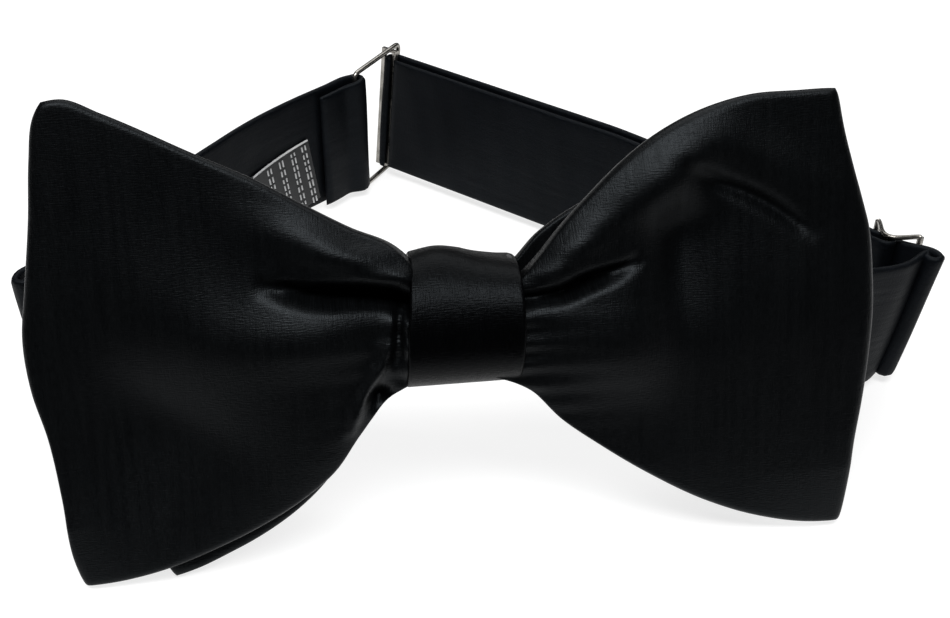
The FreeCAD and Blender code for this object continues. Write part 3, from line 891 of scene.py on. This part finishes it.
front_rows = [left_neck_row(t) for t in NECK_SHARES[::-1]] + [right_neck_row(t) for t in NECK_SHARES]
make_band_lining("neckband_front_stiffener", front_rows, "bow", "neckband_front_interlining")
left_rows = [left_row(s) for s in (6, 18, 30, 42, 54, 66, 72)]
make_band_lining("neckband_left_stiffener", left_rows, "left_strap", "left_strap_interlining")
rear_rows = [right_row(x) for x in (6, 18, 32, 46, 58, 65)]
rear_rows += [upright_row(far_place(x, 0), BAND_HALF, RIGHT_UP) for x in (6, 18, 30, 40, 46)]
make_band_lining("neckband_right_stiffener", rear_rows, "right_strap", "right_strap_interlining")


SLIDER_START = 3.2
SLIDER_LONG = 9.2
SLIDER_END = SLIDER_START + SLIDER_LONG
MIDDLE_X = SLIDER_START + SLIDER_LONG / 2
MIDDLE_Y = RETURN_OFFSET + 0.45


def make_return_run():
    rows = []
    for x in (SLIDER_END + 0.4, 24, 38, 52, 65):
        rows.append(upright_row(right_place(x, RETURN_OFFSET + 0.15, -0.5), BAND_HALF - 0.3, RIGHT_UP))
    for x in (8, 20, 32, 42, RIGHT_REST - 0.6):
        rows.append(upright_row(far_place(x, RETURN_OFFSET + 0.4), BAND_HALF - 0.3, RIGHT_UP))
    piece, length = band_mesh("return_run_satin", rows, BAND_SATIN, BAND_THICK - 0.1, 0.12)
    settle(piece, None, "black_satin", "return_run")
    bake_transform(piece)


def make_strap_end():
    rows = []
    for x, y in ((SLIDER_END + 0.5, 1.05), (MIDDLE_X + 3.6, 1.1), (MIDDLE_X + 1.8, 1.15)):
        rows.append(upright_row(right_place(x, MIDDLE_Y - y), BAND_HALF - 0.2, RIGHT_UP))
    for deg in (-110, -145, 180, 145, 110):
        turn = math.radians(deg)
        place = right_place(MIDDLE_X + 1.15 * math.cos(turn), MIDDLE_Y + 1.15 * math.sin(turn))
        rows.append(upright_row(place, BAND_HALF - 0.2, RIGHT_UP))
    for x, y in ((MIDDLE_X + 1.8, 1.15), (MIDDLE_X + 3.6, 1.1), (SLIDER_END + 0.9, 1.05)):
        rows.append(upright_row(right_place(x, MIDDLE_Y + y), BAND_HALF - 0.2, RIGHT_UP))
    piece, length = band_mesh("strap_end_satin", rows, BAND_SATIN, 0.8)
    settle(piece, "slider", "black_satin", "strap_end_wrap")


make_return_run()
make_strap_end()


# The care label and the stitches

LABEL_START = 57.8
LABEL_END = 73.6
LABEL_MID_Z = 9.3
LABEL_HALF = 7.1
LABEL_HALF_LONG = 7.3
LABEL_IN = 0.95


def label_place(a, b, lift=0.0):
    """A place on the label, a along it and b up it, from -1 to 1. It is sewn on askew."""
    askew = 0.16
    s = (LABEL_START + LABEL_END) / 2 + a * LABEL_HALF_LONG - b * LABEL_HALF * askew
    z = LABEL_MID_Z + b * LABEL_HALF + a * LABEL_HALF_LONG * askew
    return left_arc(s, LABEL_IN + lift, z)


def make_label():
    a = stations(2, 0.03, 0.09)
    b = stations(2, 0.03, 0.09)
    middle = np.array([[label_place(p, q) for q in b] for p in a])
    a, b = np.meshgrid(a, b, indexing="ij")
    edge = rounded(a, 0.03) * rounded(b, 0.03)
    flat = np.stack([a * LABEL_HALF_LONG, b * LABEL_HALF], -1)
    piece = sheet_mesh("care_label_cloth", middle, 0.12 * edge, 0.12 * edge, flat, LABEL_CLOTH)
    settle(piece, "left_strap", "label_cloth", "care_label")


def dash(name, start, end, radius, material):
    """A short raised stitch or woven dash."""
    start = np.asarray(start)
    end = np.asarray(end)
    path = [start + (end - start) * share for share in (0, 0.15, 0.5, 0.85, 1)]
    return tube(name, path, radius, material, sides=8)


def make_label_threads():
    chance = np.random.default_rng(7)
    made = []
    for a in (-0.42, 0.0, 0.42, 0.8):
        b = 0.86
        while b > -0.9:
            long = chance.uniform(0.09, 0.2)
            for line in (-0.055, 0.055):
                start = label_place(a + line, b, 0.16)
                end = label_place(a + line, b - long, 0.16)
                made.append(dash("woven_dash", start, end, 0.17, LABEL_THREAD))
            b -= long + chance.uniform(0.07, 0.12)
    border = [label_place(p, 1.0 - 0.04 * p * p, 0.15) for p in np.linspace(-0.97, 0.97, 24)]
    made.append(tube("woven_border", border, 0.2, LABEL_THREAD, sides=8))
    piece = joined("care_label_threads", made)
    settle(piece, "left_strap", "label_thread", "care_label_stitches")


make_label()
make_label_threads()


def make_bartack():
    """Two lines of stitches along the left strap's turned-back end."""
    made = []
    for back in (8.6, 7.4):
        for n in range(9):
            z = BAND_MID_Z - 9.4 + n * 2.15
            low = left_arc(LEFT_LONG - back, 1.98, z)
            high = left_arc(LEFT_LONG - back, 1.98, z + 1.5)
            made.append(dash("stitch", low, high, 0.16, THREAD))
    piece = joined("left_strap_stitches", made)
    settle(piece, "left_strap", "black_thread", "left_strap_bartack")


make_bartack()


# The metal parts


def bent(points, radius):
    """A closed line through corners, each turned round a small arc."""
    points = [np.asarray(p, float) for p in points]
    path = []
    for n, corner in enumerate(points):
        to_last = unit(points[n - 1] - corner) * radius
        to_next = unit(points[(n + 1) % len(points)] - corner) * radius
        for q in np.linspace(0, 1, 7):
            path.append(corner + to_last * (1 - q) ** 2 + to_next * q**2)
        ahead = points[(n + 1) % len(points)] - corner
        for q in np.linspace(0, 1, 12)[1:-1]:
            path.append(corner + to_next + (ahead - 2 * to_next) * q)
    return path


def make_eye():
    """The bent wire ring at the end of the left strap."""
    far_dir = RIGHT_DIR * math.cos(RIGHT_TURN) + RIGHT_IN * math.sin(RIGHT_TURN)
    far_in = RIGHT_IN * math.cos(RIGHT_TURN) - RIGHT_DIR * math.sin(RIGHT_TURN)
    far = HOOK_BAR + far_dir * 1.4 - far_in * 2.75
    near_low = EYE_BAR - UPRIGHT * 12.6
    near_high = EYE_BAR + UPRIGHT * 13.4
    corners = [near_low, near_high, far + RIGHT_UP * 13.2, far - RIGHT_UP * 13.2]
    ring = tube("eye_ring", bent(corners, 1.3), 0.5, STEEL, closed=True)
    settle(ring, "eye", "steel", "eye")


def make_slider():
    """The slider: two end bars outside the strap and a middle bar inside, joined by bowed cheeks."""
    made = []
    outer_y = -1.55
    half = 12.2
    ends = (SLIDER_START + 0.7, SLIDER_END - 0.7)
    for x in ends:
        path = [right_place(x, outer_y, z) for z in np.linspace(-half, half, 12)]
        made.append(tube("slider_bar", path, 0.55, STEEL))
    path = [right_place(MIDDLE_X, MIDDLE_Y, z) for z in np.linspace(-half, half, 12)]
    made.append(tube("slider_bar", path, 0.5, STEEL))
    for z in (-half, half):
        path = []
        for q in np.linspace(0, 1, 21):
            y = outer_y + (MIDDLE_Y - outer_y) * math.sin(math.pi * q) ** 1.3
            path.append(right_place(ends[0] + (ends[1] - ends[0]) * q, y, z))
        made.append(tube("slider_cheek", path, 0.42, STEEL))
    piece = joined("slider_frame", made)
    settle(piece, "slider", "steel", "slider")


make_eye()
make_slider()

# These pieces keep their CAD shapes and only take a finish
KEPT = {
    "hook": STEEL,
    "gathering_thread": THREAD,
    "knot_back_stitches": THREAD,
    "strap_end_stitches": THREAD,
}
for node, material in KEPT.items():
    frame["nodes"][node].data.materials.clear()
    frame["nodes"][node].data.materials.append(material)


# Floor, lights and camera


def make_floor():
    """White paper that ends in front of the bow, so that the satin there reflects the dark room."""
    size = 1.6
    front = -0.09
    corners = [(-size, front, 0), (size, front, 0), (size, size, 0), (-size, size, 0)]
    mesh = bpy.data.meshes.new("floor")
    mesh.from_pydata(corners, [], [(0, 1, 2, 3)])
    floor = bpy.data.objects.new("floor", mesh)
    bpy.context.scene.collection.objects.link(floor)
    material, _, shader = new_material("pale_floor")
    shader.inputs["Base Color"].default_value = (0.35, 0.35, 0.35, 1)
    shader.inputs["Emission Color"].default_value = (1, 1, 1, 1)
    shader.inputs["Emission Strength"].default_value = 0.75
    shader.inputs["Roughness"].default_value = 0.9
    shader.inputs["Specular IOR Level"].default_value = 0.1
    mesh.materials.append(material)


def area_light(name, place, aim, size, power):
    data = bpy.data.lights.new(name, "AREA")
    data.shape = "RECTANGLE"
    data.size = size[0]
    data.size_y = size[1]
    data.energy = power
    light = bpy.data.objects.new(name, data)
    light.location = place
    light.rotation_mode = "QUATERNION"
    light.rotation_quaternion = (aim - light.location).to_track_quat("-Z", "Y")
    bpy.context.scene.collection.objects.link(light)


def make_lights():
    world = bpy.data.worlds.new("studio")
    world.use_nodes = True
    world.node_tree.nodes["Background"].inputs["Color"].default_value = (0.95, 0.97, 1, 1)
    world.node_tree.nodes["Background"].inputs["Strength"].default_value = 0.06
    bpy.context.scene.world = world
    aim = Vector((0, 0, 0.02))
    area_light("key", Vector((-0.1, -0.36, 0.85)), aim, (0.8, 0.3), 9.0)
    area_light("top", Vector((0.15, 0.5, 0.8)), aim, (1.0, 0.6), 5.0)


def make_camera():
    data = bpy.data.cameras.new("camera")
    data.lens = 56.84
    data.sensor_width = 36
    data.clip_start = 0.01
    camera = bpy.data.objects.new("camera", data)
    camera.location = to_row([-19.6, -160.2, 157.4])
    camera.rotation_euler = (math.radians(90 - 35), 0, math.radians(-7.09))
    bpy.context.scene.collection.objects.link(camera)
    bpy.context.scene.camera = camera


make_floor()
make_lights()
make_camera()
bpy.context.scene.view_settings.view_transform = "Standard"
